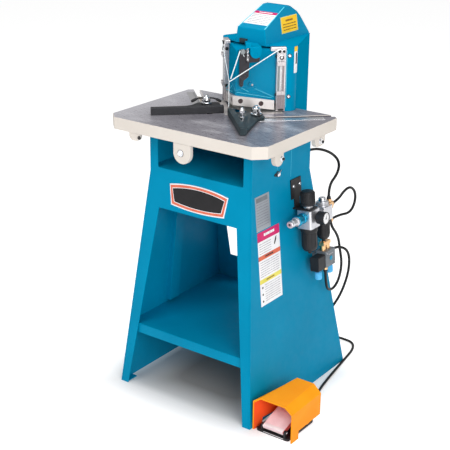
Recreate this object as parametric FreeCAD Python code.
import FreeCAD, Part
import math
import os
from FreeCAD import Vector as V

# Pneumatic corner notcher on a sheet-metal stand, with a foot pedal.
# Millimetres, +Z up, X across the table, Y from the operator to the rear.
# The origin is on the floor under the centre of the table.

# ---------------------------------------------------------------- table
TABLE_W = 568.0
TABLE_D = 425.0
TABLE_TOP = 900.0
TABLE_PLATE = 30.0
TABLE_EDGE = 37.0
SKIRT_T = 12.0
FRONT_CHAMFER = 33.0
REAR_CHAMFER = 22.0
SLOT_W = 18.0
SLOT_T_W = 30.0
SLOT_LIP = 12.0
SLOT_T_DEPTH = 11.0
SLOT_INNER_X = 45.0
SLOT_LINE_Y = -52.0
SCALE_W = 26.0
SCALE_GAP = 3.0
SCALE_T = 1.0
LUG_T = 14.0
LUG_BOLT_R = 7.0

# ---------------------------------------------------------------- stand
STAND_HALF_W = 190.0
STAND_FRONT = -119.0
STAND_REAR = TABLE_D / 2 - 12.5
KINK_Z = 721.6
FOOT_HALF_W = 258.0
FOOT_FRONT = -202.0
FOOT_REAR = 362.0
SHEET = 4.0
SLOT_OPEN_HALF_W = 160.0
SLOT_OPEN_Z0 = 737.0
SLOT_OPEN_Z1 = 842.0
BAY_TOP_Z = 611.0
BAY_TOP_HALF_W = 147.0
BAY_FOOT_HALF_W = 229.0
SHELF_Z = 214.0
SHELF_LIP = 33.0
REAR_WINDOW_HALF_W = 173.0
REAR_WINDOW_Z0 = 308.0
REAR_WINDOW_Z1 = 424.0
STIFFENER_Y = 5.0
STIFFENER_W = 46.0
STIFFENER_D = 18.0
STIFFENER_Z0 = 225.0
STIFFENER_Z1 = 640.0
BADGE_HALF_W = 110.0
BADGE_Z = 662.0
BADGE_H = 66.0
BADGE_T = 1.6
BADGE_ARCH = 9.0

# ---------------------------------------------------------------- blades, ram and head
APEX_Y = 47.0
RAKE = 0.21
BLADE_T = 10.0
BLADE_LEN = 129.0
BLADE_H = 29.5
BLADE_LIFT = 24.0
BLADE_SCREW_R = 7.5
BLADE_SCREW_S = (24.5, 88.0)
LOWER_BLADE_W = 25.0
LOWER_BLADE_LEN = 150.0
SHEAR_GAP = 0.15
BED_DEPTH = 45.0
RAM_TOP = 1090.0
RAM_HALF_S = 147.0
TONGUE_T = 22.0
SLIDE_GAP = 0.15
END_GAP = 0.3
GIB_S0 = 133.0
GIB_W = 28.0
GIB_PROUD = 6.0
GIB_Z0 = 903.0
GIB_ARM_S0 = 114.0
GIB_ARM_H = 12.0
WING_PROUD = 3.0
HEAD_HALF_W = 138.0
HEAD_CORNER_R = 24.0
HEAD_REAR_Y = 382.0
HEAD_REAR_HALF_W = 60.0
HEAD_WALL = 20.0
HEAD_BOTTOM = 735.0
HEAD_TOP = 1096.0
COLUMN_GAP = 1.5
HOOD_T = 4.0
HOOD_FRONT_Y = 137.0
HOOD_FRONT_HALF_W = 50.0
HOOD_LIP_Z = HEAD_TOP + HOOD_T
HOOD_EAVE_Z = 1144.0
HOOD_LEAN = 0.16
HOOD_CREST = ((262.0, 1199.0), (283.0, 1199.0), (292.0, 1196.0))
HOOD_BACK = ((326.0, 1176.0), (341.0, 1161.0), (HEAD_REAR_Y, 1106.0))
GUARD_T = 3.0
GUARD_OFFSET = 12.0
GUARD_LEN = 136.0
GUARD_FOLD_Z = (921.0, 1008.0)
GUARD_END_Z = (950.0, 1093.0)

# ---------------------------------------------------------------- drive inside the head
NOSE_ARM = 54.0
TAIL_ARM = 60.0
RAM_STROKE = 27.0
PIVOT_Y = 212.0
PIVOT_Z = 1112.0
PIVOT_R = 10.0
ROCKER_T = 30.0
LINK_PIN_R = 7.0
RUNNING_GAP = 0.06
EAR_T = 9.0
EAR_GAP = 1.5
CYL_R = 40.0
CYL_Z0 = 930.0
CYL_Z1 = 1046.0
CYL_ROD_R = 10.0

# ---------------------------------------------------------------- ram latch
LATCH_S = 65.0
LATCH_Z = 1082.0
LATCH_PIN_R = 5.0
LATCH_T = 8.0
LATCH_W1 = -1.0
NOSE_BLOCK_HALF = 17.0
NOSE_BLOCK_T = 11.4
LATCH_SPRING_S = 42.0

# ---------------------------------------------------------------- fences
FENCE_LEN = 222.0
FENCE_T = 19.0
FENCE_H = 22.5
FENCE_PLATE_T = 8.0
FENCE_STUD_A = 43.0
FENCE_STUD_B = 80.0
FENCE_PIN_A = 93.0
FENCE_PIN_B = 28.0
FENCE_PIN_R = 7.5
FENCE_GAP = 0.3
STUD_LEFT = (-103.0, 51.0)
STUD_RIGHT = (92.0, 40.0)
STUD_R = 6.0
CLAMP_HUB_R = 13.0
CLAMP_HALF = 47.0
CLAMP_Z0 = 912.0
CLAMP_Z1 = 934.0

# ---------------------------------------------------------------- air unit on the right side panel
UNIT_N = 42.0
REG_Y = 115.0
REG_W = 56.0
REG_Z0 = 560.0
REG_Z1 = 618.0
KNOB_R = 24.0
KNOB_H = 46.0
ARM_T = 5.0
LUB_Y = 198.0
LUB_W = 50.0
LUB_Z1 = 606.0
FILTER_BOWL_R = 24.0
FILTER_BOWL_H = 80.0
LUB_BOWL_R = 20.5
LUB_BOWL_H = 66.0
GAUGE_R = 20.0
GAUGE_LEN = 30.0
INLET_R = 11.0
INLET_TIP_Y = 8.0
COLLAR_R = 17.0
COLLAR_Y = 46.0
TEE_Y = 238.0
TEE_Z = 600.0
VALVE_Y = (180.0, 236.0)
VALVE_Z = (405.0, 458.0)
VALVE_N = (22.0, 60.0)
PILOT_Y0 = 138.0
MUFFLER_R = 11.0
MUFFLER_LEN = 32.0
FITTING_R = 8.0

# ---------------------------------------------------------------- hoses
HOSE_R = 4.3
FLOOR_HOSE_Z = HOSE_R + 0.5
REAR_GLAND = (172.0, STAND_REAR + 8.0, 771.0)
SIDE_GLAND = (237.0, 266.0, 542.0)

# ---------------------------------------------------------------- foot pedal
PEDAL_X = (260.5, 402.0)
PEDAL_FRONT = -191.0
PEDAL_REAR = -30.0
GUARD_WALL = 4.0
PEDAL_SIDE_CUT_Z = 27.0
PEDAL_LEG = 38.0
TREADLE_X = (296.0, 368.0)
PEDAL_MIDDLE = (TREADLE_X[0] + TREADLE_X[1]) / 2
TREADLE_T = 9.0
TREADLE_PIN_R = 4.0
TREADLE_PIN_Y = -179.0
TREADLE_PIN_Z = 20.0
TREADLE_LEN = 92.0
TREADLE_SLOPE = 17.0
BASE_T = 8.0
PEDAL_HOSE_Z = 20.0

# ---------------------------------------------------------------- derived values
C45 = math.sqrt(0.5)
TABLE_UNDER = TABLE_TOP - TABLE_PLATE
FOOT_SLOPE_X = (FOOT_HALF_W - STAND_HALF_W) / KINK_Z
FOOT_SLOPE_FRONT = (STAND_FRONT - FOOT_FRONT) / KINK_Z
FOOT_SLOPE_REAR = (FOOT_REAR - STAND_REAR) / KINK_Z
SIDE_TILT = math.degrees(math.atan(FOOT_SLOPE_X))
COLUMN_FRONT = TABLE_D / 2 + COLUMN_GAP
RAM_FACE = BLADE_T + SLIDE_GAP
RAM_BACK_W = RAM_FACE + TONGUE_T
GIB_S1 = GIB_S0 + GIB_W
GIB_Z1 = HOOD_LIP_Z - GIB_ARM_H
ROCK_ANGLE = math.degrees(math.asin(RAM_STROKE / 2 / NOSE_ARM))
NOSE_Y = PIVOT_Y - NOSE_ARM * math.cos(math.radians(ROCK_ANGLE))
NOSE_Z = PIVOT_Z + NOSE_ARM * math.sin(math.radians(ROCK_ANGLE))
TAIL_Y = PIVOT_Y + TAIL_ARM * math.cos(math.radians(ROCK_ANGLE))
TAIL_Z = PIVOT_Z - TAIL_ARM * math.sin(math.radians(ROCK_ANGLE))
EAR_X0 = ROCKER_T / 2 + EAR_GAP
EAR_X1 = EAR_X0 + EAR_T
LATCH_W0 = LATCH_W1 - LATCH_T
PANEL_X = STAND_HALF_W
NECK_Z1 = REG_Z1 + ARM_T + 7.0


# ---------------------------------------------------------------- small tools
def box(xs, ys, zs):
    return Part.makeBox(xs[1] - xs[0], ys[1] - ys[0], zs[1] - zs[0], V(xs[0], ys[0], zs[0]))


def solid_from(points, direction):
    """Flat polygon through the points, pushed along the direction."""
    wire = Part.makePolygon([V(*p) for p in points] + [V(*points[0])])
    return Part.Face(wire).extrude(V(*direction))


def prism(points, z0, z1):
    return solid_from([(x, y, z0) for x, y in points], (0, 0, z1 - z0))


def side_plate(points, x0, x1):
    """Outline in (y, z), pushed across from x0 to x1."""
    return solid_from([(x0, y, z) for y, z in points], (x1 - x0, 0, 0))


def front_plate(points, y0, y1):
    """Outline in (x, z), pushed back from y0 to y1."""
    return solid_from([(x, y0, z) for x, z in points], (0, y1 - y0, 0))


def rod(start, end, radius):
    a = V(*start)
    b = V(*end)
    return Part.makeCylinder(radius, (b - a).Length, a, b - a)


def mirrored(shape):
    return shape.mirror(V(0, 0, 0), V(1, 0, 0))


def symmetric(points):
    """Closes a right-hand outline, listed from the centre line, with its mirror image."""
    left = [(-x, y) for x, y in reversed(points) if abs(x) > 1e-6]
    return points + left


def fused(shapes):
    result = shapes[0]
    for shape in shapes[1:]:
        result = result.fuse(shape)
    return result.removeSplitter()


def group(shapes):
    return Part.makeCompound(shapes)


def turned(shape, centre, axis, angle):
    result = shape.copy()
    result.rotate(V(*centre), V(*axis), angle)
    return result


def moved(shape, x, y, z):
    result = shape.copy()
    result.translate(V(x, y, z))
    return result


def rounded(shape, radius, keep):
    """Fillets the edges whose middle point and direction pass the test."""
    edges = []
    for edge in shape.Edges:
        middle = edge.valueAt((edge.FirstParameter + edge.LastParameter) / 2)
        direction = edge.tangentAt((edge.FirstParameter + edge.LastParameter) / 2)
        if keep(middle, direction):
            edges.append(edge)
    return shape.makeFillet(radius, edges)


def upright(middle, direction):
    return abs(direction.z) > 0.99


# The right cutting face runs at 45 degrees from the apex. Its local frame has s along the face,
# w square into the machine and z up.
def on_face(shape):
    return moved(turned(shape, (0, 0, 0), (0, 0, 1), 45.0), 0, APEX_Y, 0)


def face_point(s, w):
    return ((s - w) * C45, APEX_Y + (s + w) * C45)


def face_plate(points, w0, w1):
    """Outline in (s, z) on the right cutting face, from depth w0 to w1."""
    return on_face(front_plate(points, w0, w1))


def face_box(s, w, z):
    return on_face(box(s, w, z))


def face_rod(s, z, w0, w1, radius):
    return on_face(rod((s, w0, z), (s, w1, z), radius))


def right_half(shape, gap=0.0):
    return shape.common(box((gap, 900), (-900, 900), (0, 1500)))


def raked_z(z_at_apex, y):
    return z_at_apex - RAKE * (y - APEX_Y)


# ---------------------------------------------------------------- table
def table_outline():
    half_w = TABLE_W / 2
    half_d = TABLE_D / 2
    return symmetric([
        (half_w - FRONT_CHAMFER, -half_d),
        (half_w, -half_d + FRONT_CHAMFER),
        (half_w, half_d - REAR_CHAMFER),
        (half_w - REAR_CHAMFER, half_d),
    ])


def inner_table_outline():
    scale_x = (TABLE_W / 2 - SKIRT_T) / (TABLE_W / 2)
    scale_y = (TABLE_D / 2 - SKIRT_T) / (TABLE_D / 2)
    return [(x * scale_x, y * scale_y) for x, y in table_outline()]


def die_opening():
    """The V-shaped opening that holds the lower blades and lets the scrap fall."""
    outer = LOWER_BLADE_W
    end = face_point(LOWER_BLADE_LEN, -outer)
    inner = face_point(LOWER_BLADE_LEN, BLADE_T + 2.0)
    points = symmetric([(0, APEX_Y - outer / C45), end, inner, (inner[0], inner[1] + 14.0)])
    return prism(points, TABLE_UNDER - 1, TABLE_TOP + 1)


def t_slot():
    """Right T-slot: it climbs at 45 degrees and runs out at the rear corner."""
    length = (TABLE_W / 2 - SLOT_INNER_X) / C45 + 60.0
    lip = box((0, length), (-SLOT_W / 2, SLOT_W / 2), (TABLE_TOP - SLOT_LIP - 1, TABLE_TOP + 1))
    floor = TABLE_TOP - SLOT_LIP - SLOT_T_DEPTH
    wide = box((0, length), (-SLOT_T_W / 2, SLOT_T_W / 2), (floor, TABLE_TOP - SLOT_LIP))
    slot = turned(lip.fuse(wide), (0, 0, 0), (0, 0, 1), 45.0)
    return moved(slot, SLOT_INNER_X, SLOT_INNER_X + SLOT_LINE_Y, 0)


def lug(x, y, width, drop, along_x):
    """Bolting lug under the skirt with a rounded lower end."""
    top = TABLE_TOP - TABLE_EDGE
    half = width / 2
    radius = min(half, drop * 0.6)
    points_top = box((-half, half), (0, LUG_T), (top - drop + radius, TABLE_UNDER))
    ends = []
    for sx in (-1, 1):
        cx = sx * (half - radius)
        ends.append(rod((cx, 0, top - drop + radius), (cx, LUG_T, top - drop + radius), radius))
    if half > radius:
        ends.append(box((-half + radius, half - radius), (0, LUG_T), (top - drop, top)))
    shape = fused([points_top] + ends)
    if not along_x:
        shape = turned(shape, (0, 0, 0), (0, 0, 1), 90.0)
    return moved(shape, x, y, 0)


def lugs():
    front = -TABLE_D / 2
    side = TABLE_W / 2
    return [
        lug(3.0, front + 4.0, 62.0, 62.0, True),
        lug(-176.0, front + 4.0, 40.0, 24.0, True),
        lug(side - 2.0, -118.0, 44.0, 36.0, False),
        lug(side - 2.0, 101.0, 56.0, 30.0, False),
    ]


def table_plate():
    top = prism(table_outline(), TABLE_UNDER, TABLE_TOP)
    skirt = prism(table_outline(), TABLE_TOP - TABLE_EDGE, TABLE_UNDER)
    skirt = skirt.cut(prism(inner_table_outline(), TABLE_TOP - TABLE_EDGE - 1, TABLE_UNDER + 1))
    body = fused([top, skirt] + lugs())
    half = bed_half_width() + 1.0
    rear_gap = box((-half, half), (TABLE_D / 2 - 2 * SKIRT_T, TABLE_D / 2 + 1), (0, TABLE_UNDER))
    body = body.cut(die_opening()).cut(rear_gap)
    return body.cut(t_slot()).cut(mirrored(t_slot()))


def scale_strips():
    """Steel rules let in beside the T-slots."""
    length = 270.0
    start = SLOT_W / 2 + SCALE_GAP
    strip = box((20.0, length), (-start - SCALE_W, -start), (TABLE_TOP, TABLE_TOP + SCALE_T))
    strip = moved(turned(strip, (0, 0, 0), (0, 0, 1), 45.0), SLOT_INNER_X, SLOT_INNER_X + SLOT_LINE_Y, 0)
    strip = strip.common(prism(table_outline(), TABLE_TOP, TABLE_TOP + SCALE_T))
    return group([strip, mirrored(strip)])


def lug_bolts():
    front = -TABLE_D / 2 + 4.0
    side = TABLE_W / 2 + LUG_T - 16.0
    low = TABLE_TOP - TABLE_EDGE
    bolts = [
        rod((-1.0, front - 7.0, low - 30.0), (-1.0, front, low - 30.0), LUG_BOLT_R),
        rod((-156.0, front - 3.0, low - 12.0), (-156.0, front, low - 12.0), LUG_BOLT_R * 0.8),
        rod((TABLE_W / 2 - 2.0, -106.0, low - 16.0), (TABLE_W / 2 + 8.0, -106.0, low - 16.0), LUG_BOLT_R),
        rod((side, 101.0, low - 14.0), (side + 12.0, 101.0, low - 14.0), LUG_BOLT_R),
    ]
    return group(bolts)


# ---------------------------------------------------------------- stand
def foot_x(z):
    return STAND_HALF_W + FOOT_SLOPE_X * (KINK_Z - z)


def front_y(z):
    return STAND_FRONT - FOOT_SLOPE_FRONT * (KINK_Z - z)


def rear_y(z):
    return STAND_REAR + FOOT_SLOPE_REAR * (KINK_Z - z)


def side_panel_right():
    upper = box((STAND_HALF_W - SHEET, STAND_HALF_W), (STAND_FRONT, STAND_REAR), (KINK_Z, TABLE_UNDER))
    points = [
        (STAND_HALF_W, STAND_FRONT, KINK_Z),
        (STAND_HALF_W, STAND_REAR, KINK_Z),
        (FOOT_HALF_W, FOOT_REAR, 0),
        (FOOT_HALF_W, FOOT_FRONT, 0),
    ]
    return fused([upper, solid_from(points, (-SHEET, 0, 0)), side_stiffener(), foot_flange()])


def foot_flange():
    """Flange turned in along the floor, hidden behind the front leg."""
    y0 = FOOT_FRONT + SHEET + 1.0
    return box((BAY_FOOT_HALF_W + 3.0, FOOT_HALF_W - 1.0), (y0, y0 + 44.0), (0, SHEET))


def cross_panel(y_top, y_foot, inward):
    """Front or rear sheet between the side panels, bent at the kink."""
    top_x = STAND_HALF_W - SHEET
    foot = FOOT_HALF_W - SHEET
    upper_y = sorted((y_top, y_top + inward))
    upper = box((-top_x, top_x), upper_y, (KINK_Z, TABLE_UNDER))
    points = [(-top_x, y_top, KINK_Z), (top_x, y_top, KINK_Z), (foot, y_foot, 0), (-foot, y_foot, 0)]
    return fused([upper, solid_from(points, (0, inward, 0))])


def front_panel():
    slot = box((-SLOT_OPEN_HALF_W, SLOT_OPEN_HALF_W), (-300, 0), (SLOT_OPEN_Z0, SLOT_OPEN_Z1))
    slot = rounded(slot, 6.0, lambda m, d: abs(d.y) > 0.99)
    slope = (BAY_FOOT_HALF_W - BAY_TOP_HALF_W) / BAY_TOP_Z
    low_half = BAY_FOOT_HALF_W + slope
    bay = front_plate(
        [(-BAY_TOP_HALF_W, BAY_TOP_Z), (BAY_TOP_HALF_W, BAY_TOP_Z), (low_half, -1), (-low_half, -1)], -300, 0)
    return cross_panel(STAND_FRONT, FOOT_FRONT, SHEET).cut(slot).cut(bay)


def bed_half_width():
    return face_point(LOWER_BLADE_LEN, -LOWER_BLADE_W - 15.0)[0]


def rear_panel():
    notch_half = bed_half_width() + 3.0
    notch = box((-notch_half, notch_half), (150, 300), (TABLE_UNDER - BED_DEPTH - 3.0, TABLE_UNDER + 1))
    window = box((-REAR_WINDOW_HALF_W, REAR_WINDOW_HALF_W), (200, 500), (REAR_WINDOW_Z0, REAR_WINDOW_Z1))
    panel = cross_panel(STAND_REAR, FOOT_REAR, -SHEET).cut(notch).cut(window)
    lower = box((-900, 900), (200, 500), (-1, SHELF_Z - SHELF_LIP))
    return panel.cut(lower)


def inner_space():
    """Inside of the flared lower stand."""
    top = [(x, y, KINK_Z) for x, y in rectangle(STAND_HALF_W, STAND_FRONT, STAND_REAR)]
    foot = [(x, y, 0) for x, y in rectangle(FOOT_HALF_W, FOOT_FRONT, FOOT_REAR)]
    wires = [Part.makePolygon([V(*p) for p in ring] + [V(*ring[0])]) for ring in (foot, top)]
    return Part.makeLoft(wires, True, True)


def rectangle(half_w, y0, y1):
    half = half_w - SHEET
    return [(-half, y0 + SHEET), (half, y0 + SHEET), (half, y1 - SHEET), (-half, y1 - SHEET)]


def bottom_shelf():
    slab = box((-400, 400), (-400, 500), (SHELF_Z - SHEET, SHELF_Z)).common(inner_space())
    lip_half = foot_x(SHELF_Z) - SHEET - 1.0
    y0 = front_y(SHELF_Z) + SHEET + 1.0
    lip = box((-lip_half, lip_half), (y0, y0 + SHEET), (SHELF_Z - SHELF_LIP, SHELF_Z))
    return fused([slab, lip])


def scrap_shelf():
    half = STAND_HALF_W - SHEET
    slab = box((-half, half), (STAND_FRONT + SHEET, STAND_REAR - SHEET),
               (SLOT_OPEN_Z0 - SHEET, SLOT_OPEN_Z0))
    lip = box((-half, half), (STAND_FRONT + SHEET, STAND_FRONT + 2 * SHEET),
              (KINK_Z + 1.0, SLOT_OPEN_Z0))
    return fused([slab, lip])


def side_stiffener():
    """Channel welded upright to the inside of the right side panel."""
    def bar(y0, y1, depth, cut_in):
        ring = []
        for y, z in ((y0, STIFFENER_Z1), (y1, STIFFENER_Z1), (y1, STIFFENER_Z0), (y0, STIFFENER_Z0)):
            ring.append((foot_x(z) - SHEET + cut_in, y, z))
        return solid_from(ring, (-depth - cut_in, 0, 0))
    outer = bar(STIFFENER_Y, STIFFENER_Y + STIFFENER_W, STIFFENER_D, 0.0)
    inner = bar(STIFFENER_Y + SHEET, STIFFENER_Y + STIFFENER_W - SHEET, STIFFENER_D - SHEET, 1.0)
    return outer.cut(inner)


def badge_plate():
    """Blank arched plate on the front sheet."""
    half = BADGE_HALF_W
    top = BADGE_Z + BADGE_H / 2
    low = BADGE_Z - BADGE_H / 2
    arcs = []
    for z, side in ((top, 1), (low, -1)):
        ends = (V(-half * side, 0, z), V(half * side, 0, z))
        middle = V(0, 0, z + BADGE_ARCH)
        arcs.append(Part.Arc(ends[0], middle, ends[1]).toShape())
    joins = [
        Part.makeLine(V(half, 0, top), V(half, 0, low)),
        Part.makeLine(V(-half, 0, low), V(-half, 0, top)),
    ]
    wire = Part.Wire([arcs[0], joins[0], arcs[1], joins[1]])
    plate = Part.Face(wire).extrude(V(0, -BADGE_T, 0))
    tilt = math.degrees(math.atan(FOOT_SLOPE_FRONT))
    plate = turned(plate, (0, 0, BADGE_Z), (1, 0, 0), -tilt)
    return moved(plate, 0, front_y(BADGE_Z), 0)


# ---------------------------------------------------------------- blades and bed
def lower_blade_right():
    blade = box((-2 * LOWER_BLADE_W, LOWER_BLADE_LEN - 0.4),
                (-LOWER_BLADE_W + 0.2, -SHEAR_GAP), (TABLE_UNDER, TABLE_TOP))
    return right_half(on_face(blade), 0.1)


def die_bed():
    """Lower arm of the machine: it carries the lower blades and reaches the rear column."""
    reach = -LOWER_BLADE_W - 15.0
    corner = face_point(LOWER_BLADE_LEN, reach)
    outer = symmetric([(0, APEX_Y + reach / C45), corner, (corner[0], COLUMN_FRONT)])
    inner_corner = face_point(BLADE_LEN, 2.0)
    inner = symmetric([(0, APEX_Y + 2.0 / C45), inner_corner, (inner_corner[0], COLUMN_FRONT - HEAD_WALL)])
    bed = prism(outer, TABLE_UNDER - BED_DEPTH, TABLE_UNDER)
    return bed.cut(prism(inner, TABLE_UNDER - BED_DEPTH - 1, TABLE_UNDER + 1))


def upper_blade_right():
    """Shear blade, raked so that it cuts from the outer end towards the apex."""
    blade = box((-2 * BLADE_T, BLADE_LEN), (0, RAM_FACE), (TABLE_TOP - 60, TABLE_TOP + 160))
    blade = right_half(on_face(blade), 0.1)
    low = TABLE_TOP + BLADE_LIFT
    ys = (APEX_Y - 60.0, APEX_Y + 160.0)
    band = side_plate([(ys[0], raked_z(low, ys[0])), (ys[1], raked_z(low, ys[1])),
                       (ys[1], raked_z(low + BLADE_H, ys[1])), (ys[0], raked_z(low + BLADE_H, ys[0]))], 0, 300)
    blade = blade.common(band)
    for s in BLADE_SCREW_S:
        blade = blade.cut(face_rod(s, blade_screw_z(s), -1, RAM_FACE + 1, BLADE_SCREW_R + 0.1))
    return blade


def blade_screw_z(s):
    middle = TABLE_TOP + BLADE_LIFT + BLADE_H / 2
    return raked_z(middle, face_point(s, 0)[1])


def blade_screws():
    screws = []
    for s in BLADE_SCREW_S:
        head = face_rod(s, blade_screw_z(s), 0.4, RAM_FACE, BLADE_SCREW_R)
        socket = on_face(hexagon_cut(s, blade_screw_z(s), 0.4 - 1.0, 4.5, 3.6))
        screws.append(head.cut(socket))
    return group(screws + [mirrored(s) for s in screws])


def hexagon_cut(s, z, w0, w1, radius):
    points = []
    for i in range(6):
        angle = math.radians(60 * i)
        points.append((s + radius * math.cos(angle), z + radius * math.sin(angle)))
    return front_plate(points, w0, w1)


# ---------------------------------------------------------------- ram
def ram():
    end_front = face_point(RAM_HALF_S, RAM_FACE)
    end_back = face_point(RAM_HALF_S, RAM_BACK_W)
    outline = symmetric([(0, APEX_Y + RAM_FACE / C45), end_front, end_back])
    body = prism(outline, TABLE_TOP, RAM_TOP)
    low = TABLE_TOP + BLADE_LIFT + BLADE_H
    ys = (0.0, 400.0)
    keep = side_plate([(ys[0], raked_z(low, ys[0])), (ys[1], raked_z(low, ys[1])),
                       (ys[1], RAM_TOP), (ys[0], RAM_TOP)], -300, 300)
    body = body.common(keep)
    rib = face_plate([(6.0, low + 12.5), (122.0, low - 8.5), (70.0, low + 24.5)],
                     RAM_FACE - 3.0, RAM_FACE + 1.0)
    peg = face_rod(56.0, low + 32.5, RAM_FACE - 8.0, RAM_FACE + 1.0, 6.0)
    body = fused([body, rib, mirrored(rib), peg])
    ears = []
    for x0, x1 in ((EAR_X0, EAR_X1), (-EAR_X1, -EAR_X0)):
        root = box((x0, x1), (NOSE_Y - 13, NOSE_Y + 13), (RAM_TOP - 1, NOSE_Z))
        tip = rod((x0, NOSE_Y, NOSE_Z), (x1, NOSE_Y, NOSE_Z), 13.0)
        ears.append(root.fuse(tip))
    pin = rod((-EAR_X1 - 2, NOSE_Y, NOSE_Z), (EAR_X1 + 2, NOSE_Y, NOSE_Z), LINK_PIN_R)
    return fused([body, pin] + ears)


# ---------------------------------------------------------------- head
def head_outline():
    """Right half of the head's plan: wing at 45 degrees, then a side that tapers to the rear."""
    front = face_point(GIB_S1 + END_GAP, -WING_PROUD)
    corner = (HEAD_HALF_W, front[1] + HEAD_HALF_W - front[0])
    return [front, corner, (HEAD_REAR_HALF_W, HEAD_REAR_Y)]


def head_side_x(y):
    corner, rear = head_outline()[1:]
    return corner[0] + (rear[0] - corner[0]) * (y - corner[1]) / (rear[1] - corner[1])


def round_corner(shape):
    corner = head_outline()[1]
    return rounded(shape, HEAD_CORNER_R, lambda m, d: upright(m, d) and abs(abs(m.x) - corner[0]) < 0.5
                   and abs(m.y - corner[1]) < 0.5)


def head_frame():
    rebate_out = face_point(GIB_S1 + END_GAP, BLADE_T)
    rebate_in = face_point(RAM_HALF_S + END_GAP, BLADE_T)
    guide = face_point(RAM_HALF_S + END_GAP, RAM_BACK_W + SLIDE_GAP)
    wall = HEAD_WALL
    rear_in = HEAD_REAR_Y - wall
    side_in = guide[1] + 1.5 * wall
    inner = [
        (head_side_x(rear_in) - 1.1 * wall, rear_in),
        (head_side_x(side_in) - 1.1 * wall, side_in),
        (guide[0], guide[1] + wall * 0.5),
        guide, rebate_in, rebate_out,
    ]
    right = prism(head_outline() + [(0, HEAD_REAR_Y), (0, rear_in)] + inner, HEAD_BOTTOM, HEAD_TOP)
    right = round_corner(right)
    under_table = box((-400, 400), (0, COLUMN_FRONT), (0, TABLE_TOP))
    right = right.cut(under_table)
    beam_top = PIVOT_Z - 32.0
    web = box((0, head_side_x(COLUMN_FRONT + 16.0) - wall), (COLUMN_FRONT, COLUMN_FRONT + 16.0),
              (HEAD_BOTTOM, TABLE_TOP - 5.0))
    beam = box((0, head_side_x(PIVOT_Y + 16.0) - wall + 2.0), (guide[1] + 4.0, PIVOT_Y + 16.0),
               (beam_top - 40.0, beam_top))
    plan = prism(head_outline() + [(0, HEAD_REAR_Y), (0, guide[1])], CYL_Z0 - 15.0, CYL_Z0)
    shelf = box((0, HEAD_HALF_W), (TAIL_Y - CYL_R - 1.0, rear_in + 2.0), (CYL_Z0 - 15.0, CYL_Z0)).common(plan)
    half = fused([right, web, beam, shelf])
    body = fused([half, mirrored(half)])
    for side in (-1, 1):
        body = body.fuse(pivot_lug(side, beam_top))
    return body.removeSplitter()


def pivot_lug(side, beam_top):
    xs = sorted((side * EAR_X0, side * (EAR_X0 + 14.0)))
    foot = box(xs, (PIVOT_Y - 16.0, PIVOT_Y + 16.0), (beam_top - 2.0, PIVOT_Z))
    tip = rod((xs[0], PIVOT_Y, PIVOT_Z), (xs[1], PIVOT_Y, PIVOT_Z), 16.0)
    hole = rod((xs[0] - 1, PIVOT_Y, PIVOT_Z), (xs[1] + 1, PIVOT_Y, PIVOT_Z), PIVOT_R)
    return foot.fuse(tip).cut(hole)


def hood_outline():
    """Plan of the shoulder: the head's outline with a straight front between the wings."""
    return symmetric([(HOOD_FRONT_HALF_W, HOOD_FRONT_Y)] + head_outline())


def hood_half_w(z):
    return HOOD_FRONT_HALF_W + HOOD_LEAN * (HOOD_EAVE_Z - z)


def hood_block(wall, low):
    """Narrow upper block: sides that lean in, a front that slopes back and a falling rear."""
    crest = HOOD_CREST[0][1]
    slope = (crest - HOOD_EAVE_Z) / (HOOD_CREST[0][0] - HOOD_FRONT_Y)
    profile = [(HOOD_FRONT_Y + wall, low), (HOOD_FRONT_Y + wall, HOOD_EAVE_Z - wall * (1 - slope))]
    profile += [(y, z - wall) for y, z in HOOD_CREST]
    profile += [(y - 0.7 * wall, z - 0.7 * wall) for y, z in HOOD_BACK]
    profile[-1] = (HEAD_REAR_Y - wall, HOOD_BACK[-1][1] - 0.7 * wall)
    profile.append((HEAD_REAR_Y - wall, low))
    block = side_plate(profile, -90, 90)
    foot = hood_half_w(low) - wall
    top = hood_half_w(crest) - wall
    return block.common(front_plate([(-foot, low), (foot, low), (top, crest), (-top, crest)], 0, 600))


def hood_cover():
    """Sheet hood: a flat shoulder on top of the head and the hollow upper block."""
    shoulder = round_corner(prism(hood_outline(), HEAD_TOP, HOOD_LIP_Z))
    shell = fused([shoulder, hood_block(0.0, HEAD_TOP)]).cut(hood_block(HOOD_T, HEAD_TOP - 1.0))
    arm_room = face_box((GIB_ARM_S0 - 2.0, GIB_S1 + END_GAP), (-30.0, BLADE_T + END_GAP),
                        (HEAD_TOP - 1, HOOD_LIP_Z + 1))
    return shell.cut(arm_room).cut(mirrored(arm_room))


def hood_screws():
    """Button heads on the right and left wings, in line with the seams."""
    screws = []
    for s, z in ((172.0, HEAD_TOP - 24.0), (172.0, TABLE_TOP + 46.0)):
        screws.append(face_rod(s, z, -WING_PROUD - 3.5, -WING_PROUD, 5.5))
    return group(screws + [mirrored(s) for s in screws])


def gib_right():
    """Guide bar that keeps the ram's tongue against the wing, with its arm at the top."""
    bar = face_box((GIB_S0, GIB_S1), (-GIB_PROUD, BLADE_T), (GIB_Z0, GIB_Z1))
    groove = face_box((GIB_S0 + 12.0, GIB_S0 + 15.0), (-GIB_PROUD - 1, -GIB_PROUD + 2.5),
                      (GIB_Z0 + 50.0, GIB_Z1 - 30.0))
    arm = face_box((GIB_ARM_S0, GIB_S1), (-GIB_PROUD, BLADE_T), (GIB_Z1, GIB_Z1 + GIB_ARM_H - 1.0))
    return fused([bar.cut(groove), arm])


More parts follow.
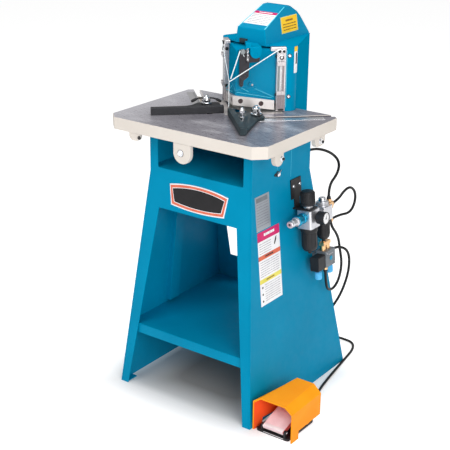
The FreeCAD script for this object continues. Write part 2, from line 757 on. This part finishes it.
def gib_screws():
    screws = []
    for s, z, radius in ((140.0, GIB_Z1 - 1.0, 4.5), (153.0, GIB_Z1 - 1.0, 4.5), (147.0, GIB_Z1 - 20.0, 7.0)):
        screws.append(face_rod(s, z, -GIB_PROUD - 4.0, -GIB_PROUD, radius))
    for z in (GIB_Z1 - 19.0, GIB_Z0 + 49.0):
        side = rod((GIB_S0 - 3.0, 2.0, z), (GIB_S0, 2.0, z), 5.5)
        screws.append(on_face(side))
    return group(screws + [mirrored(s) for s in screws])


def guard():
    """Clear V-shaped finger guard in front of the blades."""
    outline = [
        (-60.0, guard_z(GUARD_FOLD_Z[0], GUARD_END_Z[0], -60.0)),
        (GUARD_LEN, GUARD_END_Z[0]),
        (GUARD_LEN, GUARD_END_Z[1]),
        (-60.0, guard_z(GUARD_FOLD_Z[1], GUARD_END_Z[1], -60.0)),
    ]
    half = face_plate(outline, -GUARD_OFFSET - GUARD_T, -GUARD_OFFSET)
    half = right_half(half)
    return fused([half, mirrored(half)])


def guard_z(at_fold, at_end, s):
    return at_fold + (at_end - at_fold) * s / GUARD_LEN


def guard_brackets():
    blocks = []
    for z in (GUARD_END_Z[0] + 3.0, GUARD_END_Z[1] - 50.0):
        blocks.append(face_box((GIB_S0 - 1.0, GIB_S1 - 1.0), (-GUARD_OFFSET, -GIB_PROUD), (z, z + 12.0)))
    return group(blocks + [mirrored(b) for b in blocks])


# ---------------------------------------------------------------- drive
def rocker_arm():
    """Rocker between the cylinder rod and the ram; its end holes are slotted along the arm."""
    x0 = -ROCKER_T / 2
    x1 = ROCKER_T / 2
    straight = [
        rod((x0, PIVOT_Y, PIVOT_Z), (x1, PIVOT_Y, PIVOT_Z), 19.0),
        rod((x0, PIVOT_Y - NOSE_ARM, PIVOT_Z), (x1, PIVOT_Y - NOSE_ARM, PIVOT_Z), 13.0),
        rod((x0, PIVOT_Y + TAIL_ARM, PIVOT_Z), (x1, PIVOT_Y + TAIL_ARM, PIVOT_Z), 12.5),
    ]
    nose_y = PIVOT_Y - NOSE_ARM
    tail_y = PIVOT_Y + TAIL_ARM
    web = side_plate([(nose_y, PIVOT_Z - 12.5), (PIVOT_Y, PIVOT_Z - 18.0), (tail_y, PIVOT_Z - 12.0),
                      (tail_y, PIVOT_Z + 12.0), (PIVOT_Y, PIVOT_Z + 18.0), (nose_y, PIVOT_Z + 12.5)], x0, x1)
    arm = fused(straight + [web])
    arm = arm.cut(rod((-50, PIVOT_Y, PIVOT_Z), (50, PIVOT_Y, PIVOT_Z), PIVOT_R + RUNNING_GAP))
    for y in (nose_y, tail_y):
        slot = [rod((-50, y + d, PIVOT_Z), (50, y + d, PIVOT_Z), LINK_PIN_R + 0.5) for d in (-2.9, 2.9)]
        slot.append(box((-50, 50), (y - 2.9, y + 2.9), (PIVOT_Z - LINK_PIN_R - 0.5, PIVOT_Z + LINK_PIN_R + 0.5)))
        arm = arm.cut(fused(slot))
    return turned(arm, (0, PIVOT_Y, PIVOT_Z), (1, 0, 0), -ROCK_ANGLE)


def rocker_pin():
    reach = EAR_X0 + 16.0
    return rod((-reach, PIVOT_Y, PIVOT_Z), (reach, PIVOT_Y, PIVOT_Z), PIVOT_R)


def air_cylinder():
    """Cylinder that stands in the column behind the table."""
    tube = rod((0, TAIL_Y, CYL_Z0 + 14), (0, TAIL_Y, CYL_Z1 - 14), CYL_R - 3.0)
    half = CYL_R
    caps = [box((-half, half), (TAIL_Y - half, TAIL_Y + half), zs)
            for zs in ((CYL_Z0, CYL_Z0 + 14), (CYL_Z1 - 14, CYL_Z1))]
    caps = [rounded(cap, 8.0, upright) for cap in caps]
    ties = [rod((sx * 31, TAIL_Y + sy * 31, CYL_Z0 + 10), (sx * 31, TAIL_Y + sy * 31, CYL_Z1 - 10), 4.0)
            for sx in (-1, 1) for sy in (-1, 1)]
    gland = rod((0, TAIL_Y, CYL_Z1 - 1), (0, TAIL_Y, CYL_Z1 + 5), 16.0)
    body = fused([tube, gland] + caps + ties)
    bore = rod((0, TAIL_Y, CYL_Z0 + 14), (0, TAIL_Y, CYL_Z1 + 6), CYL_ROD_R + RUNNING_GAP)
    chamber = rod((0, TAIL_Y, CYL_Z0 + 14), (0, TAIL_Y, CYL_Z1 - 14), CYL_R - 7.0)
    return body.cut(bore).cut(chamber)


def piston_rod():
    foot = CYL_Z0 + 16.0
    piston = rod((0, TAIL_Y, foot), (0, TAIL_Y, foot + 16.0), CYL_R - 7.0 - RUNNING_GAP)
    stem = rod((0, TAIL_Y, foot), (0, TAIL_Y, TAIL_Z - 18.0), CYL_ROD_R)
    yoke = box((-EAR_X1, EAR_X1), (TAIL_Y - 11, TAIL_Y + 11), (TAIL_Z - 26.0, TAIL_Z))
    tips = rod((-EAR_X1, TAIL_Y, TAIL_Z), (EAR_X1, TAIL_Y, TAIL_Z), 11.0)
    gap = box((-EAR_X0, EAR_X0), (TAIL_Y - 30, TAIL_Y + 30), (TAIL_Z - 17.0, TAIL_Z + 30))
    fork = yoke.fuse(tips).cut(gap)
    pin = rod((-EAR_X1 - 2, TAIL_Y, TAIL_Z), (EAR_X1 + 2, TAIL_Y, TAIL_Z), LINK_PIN_R)
    return fused([piston, stem, fork, pin])


# ---------------------------------------------------------------- ram latch
def latch_bracket():
    half = NOSE_BLOCK_HALF
    w1 = LATCH_W0 - 0.6
    w0 = w1 - NOSE_BLOCK_T
    arm_z = (RAM_TOP + 4.0, RAM_TOP + 15.0)
    arm = face_box((LATCH_S - half, LATCH_S + half), (w0, 80.0), arm_z)
    arm = arm.common(box((-300, 300), (-300, HOOD_FRONT_Y), (0, 1500)))
    block = face_box((LATCH_S - half, LATCH_S + half), (w0, w1), (LATCH_Z + 5.0, arm_z[1]))
    nose = face_rod(LATCH_S, LATCH_Z + 5.0, w0, w1, half)
    post = face_box((LATCH_SPRING_S - 8.0, LATCH_S - half + 2.0), (w0, w1 - 2.0),
                    (arm_z[1] - 4.0, arm_z[1] + 12.0))
    body = fused([arm, block, nose, post])
    return body.cut(face_rod(LATCH_S, LATCH_Z, w0 - 1, w1 + 1, LATCH_PIN_R))


def latch_pin():
    w0 = LATCH_W0 - 0.6 - NOSE_BLOCK_T
    return face_rod(LATCH_S, LATCH_Z, w0, LATCH_W1 + 1.0, LATCH_PIN_R)


def ram_latch():
    """Dark bell-crank latch that hangs in front of the ram."""
    s = LATCH_S
    z = LATCH_Z
    outline = [
        (s + 5.0, z - 9.0), (s + 15.0, z - 14.0), (s + 13.0, z - 25.0), (s - 17.0, z - 27.0),
        (s - 19.0, z - 70.0), (s - 34.0, z - 82.0), (s - 35.0, z - 96.0), (s - 40.0, z - 102.0),
        (s - 46.0, z - 97.0), (s - 47.0, z + 12.0), (s - 25.0, z + 12.0), (s - 23.0, z - 6.0), (s - 5.0, z + 8.0),
    ]
    plate = face_plate(outline, LATCH_W0, LATCH_W1)
    eye = face_rod(s, z, LATCH_W0, LATCH_W1, 11.0)
    peg = face_rod(LATCH_SPRING_S, z - 24.0, LATCH_W0 - 7.0, LATCH_W0 + 1.0, 3.0)
    body = fused([plate, eye, peg])
    return body.cut(face_rod(s, z, LATCH_W0 - 2, LATCH_W1 + 2, LATCH_PIN_R + RUNNING_GAP))


def latch_spring():
    """Sleeve of the tension spring, from the post down to the peg of the latch."""
    top = RAM_TOP + 9.5
    low = LATCH_Z - 19.5
    depth = LATCH_W0 - 5.0
    return on_face(rod((LATCH_SPRING_S, depth, low), (LATCH_SPRING_S, depth, top), 4.4))


# ---------------------------------------------------------------- fences
def fence_place(shape, stud):
    """Right-hand fence frame: a along the bar to its outer end, b square behind it."""
    shape = moved(shape, -FENCE_STUD_A, -FENCE_STUD_B, 0)
    shape = turned(shape, (0, 0, 0), (0, 0, 1), -45.0)
    return moved(shape, stud[0], stud[1], 0)


def fence_shape():
    z0 = TABLE_TOP + SCALE_T + FENCE_GAP
    bar = box((0, FENCE_LEN), (0, FENCE_T), (z0, TABLE_TOP + FENCE_H))
    bar = rounded(bar, 2.0, lambda m, d: abs(d.x) > 0.99 and m.z > TABLE_TOP + FENCE_H - 0.5)
    plate = prism([
        (0, FENCE_T), (0, FENCE_STUD_B + 16.0), (12.0, FENCE_STUD_B + 22.0),
        (FENCE_STUD_A + 24.0, FENCE_STUD_B + 22.0), (FENCE_STUD_A + 45.0, FENCE_STUD_B - 4.0),
        (FENCE_LEN - 6.0, FENCE_T),
    ], z0, z0 + FENCE_PLATE_T)
    body = fused([bar, plate])
    return body.cut(rod((FENCE_STUD_A, FENCE_STUD_B, 0), (FENCE_STUD_A, FENCE_STUD_B, 1000), STUD_R + 0.3))


def mirror_stud(stud):
    return (-stud[0], stud[1])


def fence_right():
    return fence_place(fence_shape(), STUD_RIGHT)


def fence_left():
    return mirrored(fence_place(fence_shape(), mirror_stud(STUD_LEFT)))


def stud_shape(stud, angle):
    """T-bolt: its head slides in the T-slot."""
    top = TABLE_TOP - SLOT_LIP - FENCE_GAP
    low = TABLE_TOP - SLOT_LIP - SLOT_T_DEPTH + FENCE_GAP
    half = SLOT_T_W / 2 - 0.5
    head = box((-half, half), (-half, half), (low, top))
    neck = box((-14, 14), (-SLOT_W / 2 + 0.4, SLOT_W / 2 - 0.4), (top - 1, TABLE_TOP + SCALE_T))
    head = turned(head.fuse(neck), (0, 0, 0), (0, 0, 1), angle)
    stem = rod((0, 0, top - 2), (0, 0, CLAMP_Z1 + 5.0), STUD_R)
    return moved(fused([head, stem]), stud[0], stud[1], 0)


def fence_pin():
    """Domed chrome nut that stands on the right fence's foot, close behind the bar."""
    low = TABLE_TOP + SCALE_T + FENCE_GAP + FENCE_PLATE_T
    place = (FENCE_PIN_A, FENCE_PIN_B)
    body = rod((*place, low), (*place, TABLE_TOP + 43.0), FENCE_PIN_R)
    dome = Part.makeCone(FENCE_PIN_R, FENCE_PIN_R * 0.5, 6.0, V(*place, TABLE_TOP + 43.0))
    return fence_place(body.fuse(dome), STUD_RIGHT)


def clamp_shape(stud, angle):
    """Chrome hub with two drooping arms and dark tips."""
    hub = rod((0, 0, CLAMP_Z0), (0, 0, CLAMP_Z1), CLAMP_HUB_R)
    flange = rod((0, 0, CLAMP_Z0), (0, 0, CLAMP_Z0 + 5.0), CLAMP_HUB_R + 4.0)
    parts = [hub, flange]
    for side in (-1, 1):
        inner = (side * (CLAMP_HUB_R - 3.0), 0, CLAMP_Z1 - 4.5)
        knee = (side * 31.0, 0, CLAMP_Z1 - 8.5)
        tip = (side * CLAMP_HALF, 0, CLAMP_Z1 - 17.0)
        parts.append(rod(inner, knee, 3.5))
        parts.append(rod(knee, tip, 6.0))
    body = fused(parts).cut(rod((0, 0, 0), (0, 0, 2000), STUD_R + RUNNING_GAP))
    return moved(turned(body, (0, 0, 0), (0, 0, 1), angle), stud[0], stud[1], 0)


# ---------------------------------------------------------------- air unit
# The unit is modelled beside an upright panel at x = PANEL_X and then leaned with the side panel.
def leaned(shape):
    return turned(shape, (PANEL_X, 0, KINK_Z), (0, 1, 0), -SIDE_TILT)


def leaned_point(n, y, z):
    angle = math.radians(SIDE_TILT)
    dz = z - KINK_Z
    return (PANEL_X + n * math.cos(angle) - dz * math.sin(angle), y,
            KINK_Z + n * math.sin(angle) + dz * math.cos(angle))


def at_n(n):
    return PANEL_X + n


def unit_bracket():
    plate = box((at_n(0), at_n(4)), (REG_Y - 30, REG_Y + 26), (NECK_Z1 + 20, NECK_Z1 + 82))
    riser = box((at_n(0), at_n(4)), (REG_Y - 14, REG_Y + 14), (REG_Z1, NECK_Z1 + 21))
    arm = box((at_n(0), at_n(UNIT_N + 20)), (REG_Y - 22, REG_Y + 22), (REG_Z1, REG_Z1 + ARM_T))
    arm = arm.cut(rod((at_n(UNIT_N), REG_Y, REG_Z1 - 1), (at_n(UNIT_N), REG_Y, REG_Z1 + ARM_T + 1), 15.3))
    return leaned(fused([plate, riser, arm]))


def bracket_screws():
    heads = [rod((at_n(4), REG_Y + dy, NECK_Z1 + 60), (at_n(7.5), REG_Y + dy, NECK_Z1 + 60), 5.5)
             for dy in (-18, 17)]
    return leaned(group(heads))


def regulator_body():
    half = REG_W / 2
    block = box((at_n(UNIT_N - 26), at_n(UNIT_N + 26)), (REG_Y - half, REG_Y + half), (REG_Z0, REG_Z1))
    block = rounded(block, 7.0, upright)
    centre = at_n(UNIT_N)
    neck = rod((centre, REG_Y, REG_Z1 - 1), (centre, REG_Y, NECK_Z1), 15.0)
    spindle = rod((centre, REG_Y, NECK_Z1 - 1), (centre, REG_Y, NECK_Z1 + 20.0), 5.0)
    join = rod((centre, REG_Y + half - 1, 583.0), (centre, LUB_Y - LUB_W / 2, 583.0), 14.0)
    return leaned(fused([block, neck, spindle, join]))


def regulator_knob():
    centre = at_n(UNIT_N)
    z0 = NECK_Z1 + 0.4
    body = rod((centre, REG_Y, z0), (centre, REG_Y, z0 + KNOB_H), KNOB_R)
    body = body.makeChamfer(3.0, [e for e in body.Edges if e.Length > 100 and e.BoundBox.ZMin > z0 + 10])
    bore = rod((centre, REG_Y, z0 - 1), (centre, REG_Y, NECK_Z1 + 20.4), 5.0 + RUNNING_GAP)
    return leaned(body.cut(bore))


def bowl(centre_y, radius, height):
    """Bowl with a collar and a domed lower end with its drain."""
    x = at_n(UNIT_N)
    top = REG_Z0
    profile = [
        V(0, 0, 0), V(radius + 3, 0, 0), V(radius + 3, 0, -12), V(radius, 0, -15),
        V(radius, 0, -height + 14), V(radius * 0.75, 0, -height + 4), V(6, 0, -height + 2),
        V(6, 0, -height - 6), V(0, 0, -height - 6), V(0, 0, 0),
    ]
    face = Part.Face(Part.makePolygon(profile))
    return leaned(moved(face.revolve(V(0, 0, 0), V(0, 0, 1), 360), x, centre_y, top))


def lubricator_body():
    half = LUB_W / 2
    block = box((at_n(UNIT_N - 24), at_n(UNIT_N + 24)), (LUB_Y - half, LUB_Y + half), (REG_Z0, LUB_Z1))
    block = rounded(block, 7.0, upright)
    centre = at_n(UNIT_N)
    dome = rod((centre, LUB_Y, LUB_Z1 - 1), (centre, LUB_Y, LUB_Z1 + 14), 19.0)
    cap = rod((centre, LUB_Y, LUB_Z1 + 13), (centre, LUB_Y, LUB_Z1 + 26), 11.0)
    return leaned(fused([block, dome, cap]))


def gauge():
    x0 = at_n(UNIT_N + 26)
    z = REG_Z0 + 34.0
    stem = rod((x0, REG_Y + 3, z), (x0 + 8, REG_Y + 3, z), 6.0)
    case = rod((x0 + 7, REG_Y + 3, z), (x0 + 7 + GAUGE_LEN, REG_Y + 3, z), GAUGE_R)
    dish = rod((x0 + 5 + GAUGE_LEN, REG_Y + 3, z), (x0 + 8 + GAUGE_LEN, REG_Y + 3, z), GAUGE_R - 3.0)
    needle = box((x0 + 4 + GAUGE_LEN, x0 + 6 + GAUGE_LEN), (REG_Y + 2, REG_Y + 4), (z - 4, z + 13))
    return leaned(fused([stem, case.cut(dish), needle]))


def air_inlet():
    x = at_n(UNIT_N)
    z = REG_Z0 + 37.0
    y = REG_Y - REG_W / 2
    collar = rod((x, COLLAR_Y, z), (x, y, z), COLLAR_R)
    ring = rod((x, COLLAR_Y - 6, z), (x, COLLAR_Y, z), COLLAR_R - 3.0)
    nipple = rod((x, INLET_TIP_Y, z), (x, COLLAR_Y - 6, z), INLET_R)
    waist = rod((x, INLET_TIP_Y + 8, z), (x, INLET_TIP_Y + 14, z), INLET_R + 2)
    waist = waist.cut(rod((x, INLET_TIP_Y + 7, z), (x, INLET_TIP_Y + 15, z), INLET_R - 2.5))
    bore = rod((x, INLET_TIP_Y - 1, z), (x, INLET_TIP_Y + 22, z), 4.0)
    return leaned(fused([collar, ring, nipple]).cut(waist).cut(bore))


def brass_fittings():
    x = at_n(UNIT_N)
    half = 10.0
    tee_y0 = LUB_Y + LUB_W / 2
    tee = box((x - half, x + half), (tee_y0, TEE_Y + half), (TEE_Z - 16, TEE_Z + 8))
    tee = rounded(tee, 3.0, lambda m, d: abs(d.y) > 0.99)
    z_top = TEE_Z + 16
    top = rod((x, TEE_Y, TEE_Z + 7), (x, TEE_Y, z_top), FITTING_R)
    rear = rod((x, TEE_Y + half - 1, TEE_Z - 4), (x, TEE_Y + half + 7, TEE_Z - 4), FITTING_R)
    low = rod((x, TEE_Y, TEE_Z - 15), (x, TEE_Y, TEE_Z - 24), FITTING_R)
    pieces = [fused([tee, top, rear, low])]
    drop = REG_Z0 - LUB_BOWL_H - 6
    for y in (VALVE_Y[0] + 12.0, VALVE_Y[0] + 36.0):
        pieces.append(rod((x, y, VALVE_Z[1]), (x, y, VALVE_Z[1] + 18.0), 9.0))
    elbow = box((x - 9, x + 9), (VALVE_Y[0] + 3, VALVE_Y[0] + 45), (VALVE_Z[1] + 17.0, VALVE_Z[1] + 28.0))
    riser = rod((x, LUB_Y, VALVE_Z[1] + 27.0), (x, LUB_Y, drop), 6.0)
    pieces = [pieces[0], fused(pieces[1:] + [elbow, riser])]
    nx = at_n((VALVE_N[0] + VALVE_N[1]) / 2)
    ny = VALVE_Y[0] + 22.0
    pieces.append(rod((nx, ny, VALVE_Z[0]), (nx, ny, VALVE_Z[0] - 14.0), FITTING_R))
    side_z = VALVE_Z[1] - 14.0
    pieces.append(rod((nx, VALVE_Y[1], side_z), (nx, VALVE_Y[1] + 12.0, side_z), FITTING_R))
    return leaned(group(pieces))


def valve_block():
    block = box((at_n(VALVE_N[0]), at_n(VALVE_N[1])), VALVE_Y, VALVE_Z)
    block = rounded(block, 3.0, upright)
    spacer = box((at_n(0), at_n(VALVE_N[0])), (VALVE_Y[0] + 12, VALVE_Y[1] - 12), (VALVE_Z[0] + 14, VALVE_Z[1] - 14))
    return leaned(fused([block, spacer]))


def valve_pilot():
    block = box((at_n(VALVE_N[0] + 3), at_n(VALVE_N[1] - 3)), (PILOT_Y0, VALVE_Y[0]), (VALVE_Z[0] - 2, VALVE_Z[1] - 8))
    return leaned(rounded(block, 4.0, lambda m, d: abs(d.y) > 0.99))


def mufflers():
    nx = at_n((VALVE_N[0] + VALVE_N[1]) / 2)
    pieces = []
    for y, z in ((PILOT_Y0 + 22.0, VALVE_Z[0] - 2.0), (VALVE_Y[1] - 9.0, VALVE_Z[0])):
        body = rod((nx, y, z - MUFFLER_LEN), (nx, y, z - 6.0), MUFFLER_R)
        neck = rod((nx, y, z - 7.0), (nx, y, z), 6.0)
        body = fused([body, neck])
        pieces.append(body)
    return leaned(group(pieces))


# ---------------------------------------------------------------- hoses
# Each hose is a list of corner points; the straight runs are joined by tangent arcs.
def tee_port(side, out=0.0):
    """Mouth of a port of the tee, or a point straight out from it."""
    if side == "top":
        return leaned_point(UNIT_N, TEE_Y, TEE_Z + 16 + out)
    if side == "rear":
        return leaned_point(UNIT_N, TEE_Y + 17 + out, TEE_Z - 4)
    return leaned_point(UNIT_N, TEE_Y, TEE_Z - 24 - out)


def valve_port(side, out=0.0):
    """Mouth of a port of the valve, or a point straight out from it."""
    n = (VALVE_N[0] + VALVE_N[1]) / 2
    if side == "low":
        return leaned_point(n, VALVE_Y[0] + 22.0, VALVE_Z[0] - 14.0 - out)
    return leaned_point(n, VALVE_Y[1] + 12.0 + out, VALVE_Z[1] - 14.0)


def hose_path(points):
    """Straight runs with tangent arcs; returns the wire and the smallest arc radius."""
    pts = [V(*p) for p in points]
    edges = []
    start = pts[0]
    radii = []
    for i in range(1, len(pts) - 1):
        before = pts[i] - pts[i - 1]
        after = pts[i + 1] - pts[i]
        turn = before.getAngle(after)
        run = min(before.Length, after.Length)
        trim = 0.45 * run
        radii.append(trim / math.tan(turn / 2))
        a = pts[i] - before.normalize() * trim
        b = pts[i] + after.normalize() * trim
        half = (a + b) * 0.5
        inward = (half - pts[i]).normalize()
        to_centre = radii[-1] / math.cos(turn / 2)
        middle = pts[i] + inward * (to_centre - radii[-1])
        edges.append(Part.makeLine(start, a))
        edges.append(Part.Arc(a, middle, b).toShape())
        start = b
    edges.append(Part.makeLine(start, pts[-1]))
    return Part.Wire(edges), min(radii)


def hose(name, points):
    wire, smallest = hose_path(points)
    first = V(*points[1]) - V(*points[0])
    ring = Part.Wire(Part.Edge(Part.Circle(V(*points[0]), first, HOSE_R)))
    print(name, "length", round(wire.Length), "smallest radius", round(smallest, 1))
    print([tuple(round(value, 1) for value in point) for point in points])
    return wire.makePipeShell([ring], True, False)


def hose_cylinder():
    return hose("hose_cylinder", [
        tee_port("top"), tee_port("top", 42.0), (250.0, 274.0, 698.0), (238.0, 300.0, 730.0),
        (206.0, 290.0, 757.0), (REAR_GLAND[0], 250.0, REAR_GLAND[2]), REAR_GLAND,
    ])


def hose_loop():
    return hose("hose_loop", [
        tee_port("rear"), tee_port("rear", 35.0), (246.0, 330.0, 626.0), (249.0, 364.0, 628.0),
        (252.0, 391.0, 602.0), (252.0, 391.0, 564.0), (250.0, 363.0, 537.0),
        (SIDE_GLAND[0], 315.0, SIDE_GLAND[2]), SIDE_GLAND,
    ])


def hose_valve():
    return hose("hose_valve", [
        tee_port("low"), tee_port("low", 44.0), (257.5, 281.0, 486.0), (253.5, 304.0, 432.0),
        (260.0, 312.0, 378.0), (262.0, 294.0, 328.0), (262.0, 258.0, 306.0), (262.0, 220.0, 318.0),
        valve_port("low", 38.0), valve_port("low"),
    ])


def hose_pedal():
    return hose("hose_pedal", [
        valve_port("side"), valve_port("side", 36.0), (280.0, 318.0, 428.0), (273.0, 341.0, 350.0),
        (248.0, 342.0, 258.0), (206.0, 354.0, 186.0), (166.0, 370.0, 128.0), (143.0, 408.0, 66.0),
        (152.0, 454.0, 24.0), (176.0, 489.0, FLOOR_HOSE_Z + 2.0), (222.0, 489.0, FLOOR_HOSE_Z),
        (249.0, 446.0, FLOOR_HOSE_Z), (262.0, 366.0, FLOOR_HOSE_Z), (280.0, 250.0, FLOOR_HOSE_Z),
        (299.0, 146.0, FLOOR_HOSE_Z), (PEDAL_MIDDLE - 14.0, 84.0, FLOOR_HOSE_Z + 1.5),
        (PEDAL_MIDDLE, PEDAL_REAR + 34.0, PEDAL_HOSE_Z), (PEDAL_MIDDLE, PEDAL_REAR + 6.0, PEDAL_HOSE_Z),
    ])


def hose_glands():
    """Bushings where two hoses enter the stand."""
    x, y, z = REAR_GLAND
    rear = rod((x, STAND_REAR, z), (x, y, z), HOSE_R + 4.0)
    x, y, z = SIDE_GLAND
    block = box((x - 9.0, x + 9.0), (y - 22.0, y - 6.0), (z - 9.0, z + 9.0))
    port = rod((x, y - 7.0, z), (x, y, z), HOSE_R + 3.5)
    stem = rod((foot_x(z) - 10.0, y - 14.0, z), (x, y - 14.0, z), 6.0).cut(side_panel_right())
    outer = max(stem.Solids, key=lambda solid: solid.BoundBox.XMax)
    return group([rear, fused([block, port, outer])])


# ---------------------------------------------------------------- foot pedal
def guard_section(y, x0, x1, z_side, z_top, inset, z0):
    points = [(x0 + inset, z0), (x0 + inset, z_side - inset), (x0 + 26.0 + inset * 0.5, z_top - inset),
              (x1 - 26.0 - inset * 0.5, z_top - inset), (x1 - inset, z_side - inset), (x1 - inset, z0)]
    ring = [V(x, y, z) for x, z in points]
    return Part.makePolygon(ring + [ring[0]])


def pedal_guard():
    x0, x1 = PEDAL_X
    rear_x0 = x0 + 28.0

    def loft(inset, y_front, y_rear, z0):
        sections = [
            guard_section(y_front, x0, x1, 98.0, 116.0, inset, z0),
            guard_section(y_rear, rear_x0, x1, 100.0, 124.0, inset, z0),
        ]
        return Part.makeLoft(sections, True, True)
    outer = loft(0.0, PEDAL_FRONT, PEDAL_REAR, 0.0)
    inner = loft(GUARD_WALL, PEDAL_FRONT - 1.0, PEDAL_REAR - GUARD_WALL, -1.0)
    shell = outer.cut(inner)
    cut = box((x0 - 10, x1 + 10), (PEDAL_FRONT + PEDAL_LEG, PEDAL_REAR + 10), (-1, PEDAL_SIDE_CUT_Z))
    return shell.cut(cut)


def pedal_base():
    x0, x1 = TREADLE_X
    plate = box((x0 - 24.0, x1 + 20.0), (PEDAL_FRONT + 2.0, PEDAL_REAR - 12.0), (0.0, BASE_T))
    plate = rounded(plate, 8.0, upright)
    cheeks = []
    for xs in ((x0 - 8.0, x0 - 1.0), (x1 + 1.0, x1 + 8.0)):
        foot = box(xs, (TREADLE_PIN_Y - 8.0, TREADLE_PIN_Y + 8.0), (BASE_T - 1.0, TREADLE_PIN_Z))
        tip = rod((xs[0], TREADLE_PIN_Y, TREADLE_PIN_Z), (xs[1], TREADLE_PIN_Y, TREADLE_PIN_Z), 8.0)
        cheeks.append(foot.fuse(tip))
    body = fused([plate] + cheeks)
    posts = [box(xs, (PEDAL_REAR - 34.0, PEDAL_REAR - GUARD_WALL), (BASE_T - 1.0, PEDAL_SIDE_CUT_Z + 8.0))
             for xs in ((x0 + 2.0, x0 + 9.0), (x1 - 9.0, x1 - 2.0))]
    body = fused([body] + posts)
    return body.cut(rod((0, TREADLE_PIN_Y, TREADLE_PIN_Z), (600, TREADLE_PIN_Y, TREADLE_PIN_Z), TREADLE_PIN_R))


def treadle():
    """Foot plate that tips down at the toe; it pivots at the heel."""
    x0, x1 = TREADLE_X
    y0 = TREADLE_PIN_Y
    plate = box((x0, x1), (y0 - 8.0, y0 + TREADLE_LEN), (TREADLE_PIN_Z, TREADLE_PIN_Z + TREADLE_T))
    plate = rounded(plate, 3.0, lambda m, d: abs(d.x) > 0.99 and m.z > TREADLE_PIN_Z + TREADLE_T - 0.5)
    hub = rod((x0, y0, TREADLE_PIN_Z), (x1, y0, TREADLE_PIN_Z), 8.0)
    skirt = []
    for xs in ((x0, x0 + 4.0), (x1 - 4.0, x1)):
        skirt.append(box(xs, (y0, y0 + TREADLE_LEN), (TREADLE_PIN_Z - 7.0, TREADLE_PIN_Z + 1.0)))
    body = fused([plate, hub] + skirt)
    body = body.cut(rod((0, y0, TREADLE_PIN_Z), (600, y0, TREADLE_PIN_Z), TREADLE_PIN_R + RUNNING_GAP))
    return turned(body, (0, y0, TREADLE_PIN_Z), (1, 0, 0), TREADLE_SLOPE)


def treadle_pin():
    x0, x1 = TREADLE_X
    return rod((x0 - 9.0, TREADLE_PIN_Y, TREADLE_PIN_Z), (x1 + 9.0, TREADLE_PIN_Y, TREADLE_PIN_Z), TREADLE_PIN_R)


def pedal_valve():
    middle = PEDAL_MIDDLE
    y0 = TREADLE_PIN_Y + TREADLE_LEN + 2.0
    block = box((middle - 20, middle + 20), (y0, PEDAL_REAR - 14.0), (BASE_T, 40.0))
    block = rounded(block, 3.0, upright)
    port = rod((middle, PEDAL_REAR - 15.0, PEDAL_HOSE_Z), (middle, PEDAL_REAR + 6.0, PEDAL_HOSE_Z), 7.0)
    finger = box((middle - 8, middle + 8), (y0 - 24.0, y0 + 1), (BASE_T + 2.0, BASE_T + 10.0))
    return fused([block, port, finger])


def nodes():
    """Every named piece of the machine."""
    return {
        "side_panel_right": side_panel_right(),
        "side_panel_left": mirrored(side_panel_right()),
        "front_panel": front_panel(),
        "rear_panel": rear_panel(),
        "bottom_shelf": bottom_shelf(),
        "scrap_shelf": scrap_shelf(),
        "badge_plate": badge_plate(),
        "table_plate": table_plate(),
        "lug_bolts": lug_bolts(),
        "scale_strips": scale_strips(),
        "die_bed": die_bed(),
        "lower_blade_right": lower_blade_right(),
        "lower_blade_left": mirrored(lower_blade_right()),
        "head_frame": head_frame(),
        "hood_cover": hood_cover(),
        "button_screws": group([hood_screws(), bracket_screws()]),
        "gib_right": gib_right(),
        "gib_left": mirrored(gib_right()),
        "gib_screws": gib_screws(),
        "guard": guard(),
        "guard_brackets": guard_brackets(),
        "latch_bracket": latch_bracket(),
        "latch_pin": latch_pin(),
        "ram_latch": ram_latch(),
        "latch_spring": latch_spring(),
        "ram": ram(),
        "upper_blade_right": upper_blade_right(),
        "upper_blade_left": mirrored(upper_blade_right()),
        "blade_screws": blade_screws(),
        "rocker_arm": rocker_arm(),
        "rocker_pin": rocker_pin(),
        "air_cylinder": air_cylinder(),
        "piston_rod": piston_rod(),
        "fence_right": fence_right(),
        "fence_left": fence_left(),
        "t_bolt_right": group([stud_shape(STUD_RIGHT, 45.0), fence_pin()]),
        "t_bolt_left": stud_shape(STUD_LEFT, -45.0),
        "clamp_handle_right": clamp_shape(STUD_RIGHT, -44.0),
        "clamp_handle_left": clamp_shape(STUD_LEFT, 38.0),
        "unit_bracket": unit_bracket(),
        "regulator_body": regulator_body(),
        "regulator_knob": regulator_knob(),
        "filter_bowl": bowl(REG_Y, FILTER_BOWL_R, FILTER_BOWL_H),
        "lubricator_body": lubricator_body(),
        "lubricator_bowl": bowl(LUB_Y, LUB_BOWL_R, LUB_BOWL_H),
        "pressure_gauge": gauge(),
        "air_inlet": air_inlet(),
        "brass_fittings": group([brass_fittings(), hose_glands()]),
        "valve_block": valve_block(),
        "valve_pilot": valve_pilot(),
        "mufflers": mufflers(),
        "hose_cylinder": hose_cylinder(),
        "hose_loop": hose_loop(),
        "hose_valve": hose_valve(),
        "hose_pedal": hose_pedal(),
        "pedal_guard": pedal_guard(),
        "pedal_base": pedal_base(),
        "treadle": treadle(),
        "treadle_pin": treadle_pin(),
        "pedal_valve": pedal_valve(),
    }


def main():
    os.makedirs("parts", exist_ok=True)
    shapes = nodes()
    for name, shape in shapes.items():
        shape.exportStep("parts/" + name + ".step")
    print(len(shapes), "nodes")


main()
